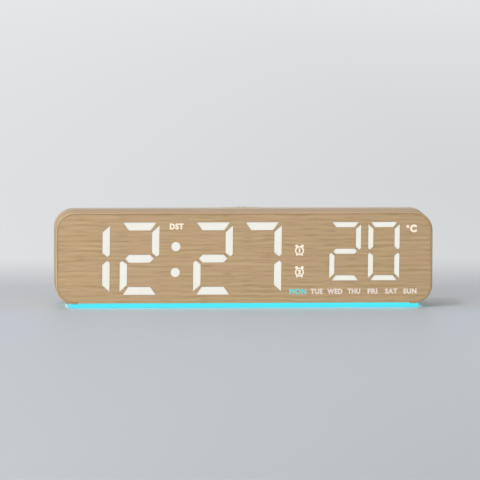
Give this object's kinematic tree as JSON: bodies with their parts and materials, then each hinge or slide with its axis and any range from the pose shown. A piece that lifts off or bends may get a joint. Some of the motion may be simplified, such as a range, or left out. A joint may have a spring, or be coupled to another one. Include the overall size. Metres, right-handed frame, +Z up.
{
  "type": "digital desk clock",
  "caption": "Long low digital desk clock with a wood-look face, lit seven-segment time and temperature, a glowing strip under the front, keys on the back and a snooze button on top.",
  "frame": {"origin": "on the table, under the middle of the clock's box", "axes": "+X to the right of someone who reads the face, +Y away from them, towards the back, +Z up"},
  "size_m": [0.2, 0.034, 0.0521],
  "materials": {
    "wood_wrap": "wood-grain foil with a satin coat",
    "wood_sheet": "fine straight oak-like grain, satin",
    "lit_lens": "milky polycarbonate lit from behind",
    "white_plastic": "moulded white",
    "circuit_board": "green solder mask",
    "white_board": "white solder mask",
    "cable": "flat ribbon",
    "screw_steel": "zinc plated",
    "socket_steel": "stamped shell, satin",
    "cell_steel": "fine brushed",
    "black_plastic": "moulded black",
    "cream_plastic": "fine moulded texture, warm cream",
    "key_plastic": "smooth satin, slightly darker than the cover",
    "glow_bar": "clear acrylic lit cyan from inside",
    "foot_rubber": "matt rubber"
  },
  "bodies": {
    "housing": {"housing_sleeve": "wood_wrap", "wood_face": "wood_sheet", "display_lens": "lit_lens", "reflector_box": "white_plastic", "display_board": "circuit_board", "ribbon_cable": "cable", "display_screw_1": "screw_steel", "display_screw_2": "screw_steel", "display_screw_3": "screw_steel", "display_screw_4": "screw_steel", "rear_cover": "cream_plastic", "control_board": "circuit_board", "power_socket": "socket_steel", "buzzer": "black_plastic", "temperature_sensor": "black_plastic", "cell_holder": "black_plastic", "cell_contact": "screw_steel", "coin_cell": "cell_steel", "snooze_switch": "black_plastic", "cover_screw_1": "screw_steel", "cover_screw_2": "screw_steel", "cover_screw_3": "screw_steel", "cover_screw_4": "screw_steel", "board_screw_1": "screw_steel", "board_screw_2": "screw_steel", "board_screw_3": "screw_steel", "board_screw_4": "screw_steel", "set_switch": "black_plastic", "plus_switch": "black_plastic", "minus_switch": "black_plastic", "alarm_switch": "black_plastic", "light_switch": "black_plastic", "base_plate": "cream_plastic", "light_bar": "glow_bar", "light_board": "white_board", "light_cable": "cable", "base_screw_1": "screw_steel", "base_screw_2": "screw_steel", "base_screw_3": "screw_steel", "base_screw_4": "screw_steel", "foot_1": "foot_rubber", "foot_2": "foot_rubber", "foot_3": "foot_rubber", "foot_4": "foot_rubber"},
    "snooze_key": {"snooze_button": "cream_plastic"},
    "set_key": {"set_button": "key_plastic"},
    "plus_key": {"plus_button": "key_plastic"},
    "minus_key": {"minus_button": "key_plastic"},
    "alarm_key": {"alarm_button": "key_plastic"},
    "light_key": {"light_button": "key_plastic"},
    "cap": {"battery_cap": "cream_plastic"}
  },
  "joints": [
    {"name": "snooze_press", "type": "slide", "parent": "housing", "child": "snooze_key", "axis": [0, 0, -1], "range_m": [0, 0.0006], "stiffness_N_per_m": 800},
    {"name": "set_press", "type": "slide", "parent": "housing", "child": "set_key", "axis": [0, -1, 0], "range_m": [0, 0.0005], "stiffness_N_per_m": 600},
    {"name": "plus_press", "type": "slide", "parent": "housing", "child": "plus_key", "axis": [0, -1, 0], "range_m": [0, 0.0005], "stiffness_N_per_m": 600},
    {"name": "minus_press", "type": "slide", "parent": "housing", "child": "minus_key", "axis": [0, -1, 0], "range_m": [0, 0.0005], "stiffness_N_per_m": 600},
    {"name": "alarm_press", "type": "slide", "parent": "housing", "child": "alarm_key", "axis": [0, -1, 0], "range_m": [0, 0.0005], "stiffness_N_per_m": 600},
    {"name": "light_press", "type": "slide", "parent": "housing", "child": "light_key", "axis": [0, -1, 0], "range_m": [0, 0.0005], "stiffness_N_per_m": 600},
    {"name": "cap_turn", "type": "hinge", "parent": "housing", "child": "cap", "pos_m": [0.058, 0.0162, 0.02611], "axis": [0, 1, 0], "range_deg": [0, 60]}
  ]
}
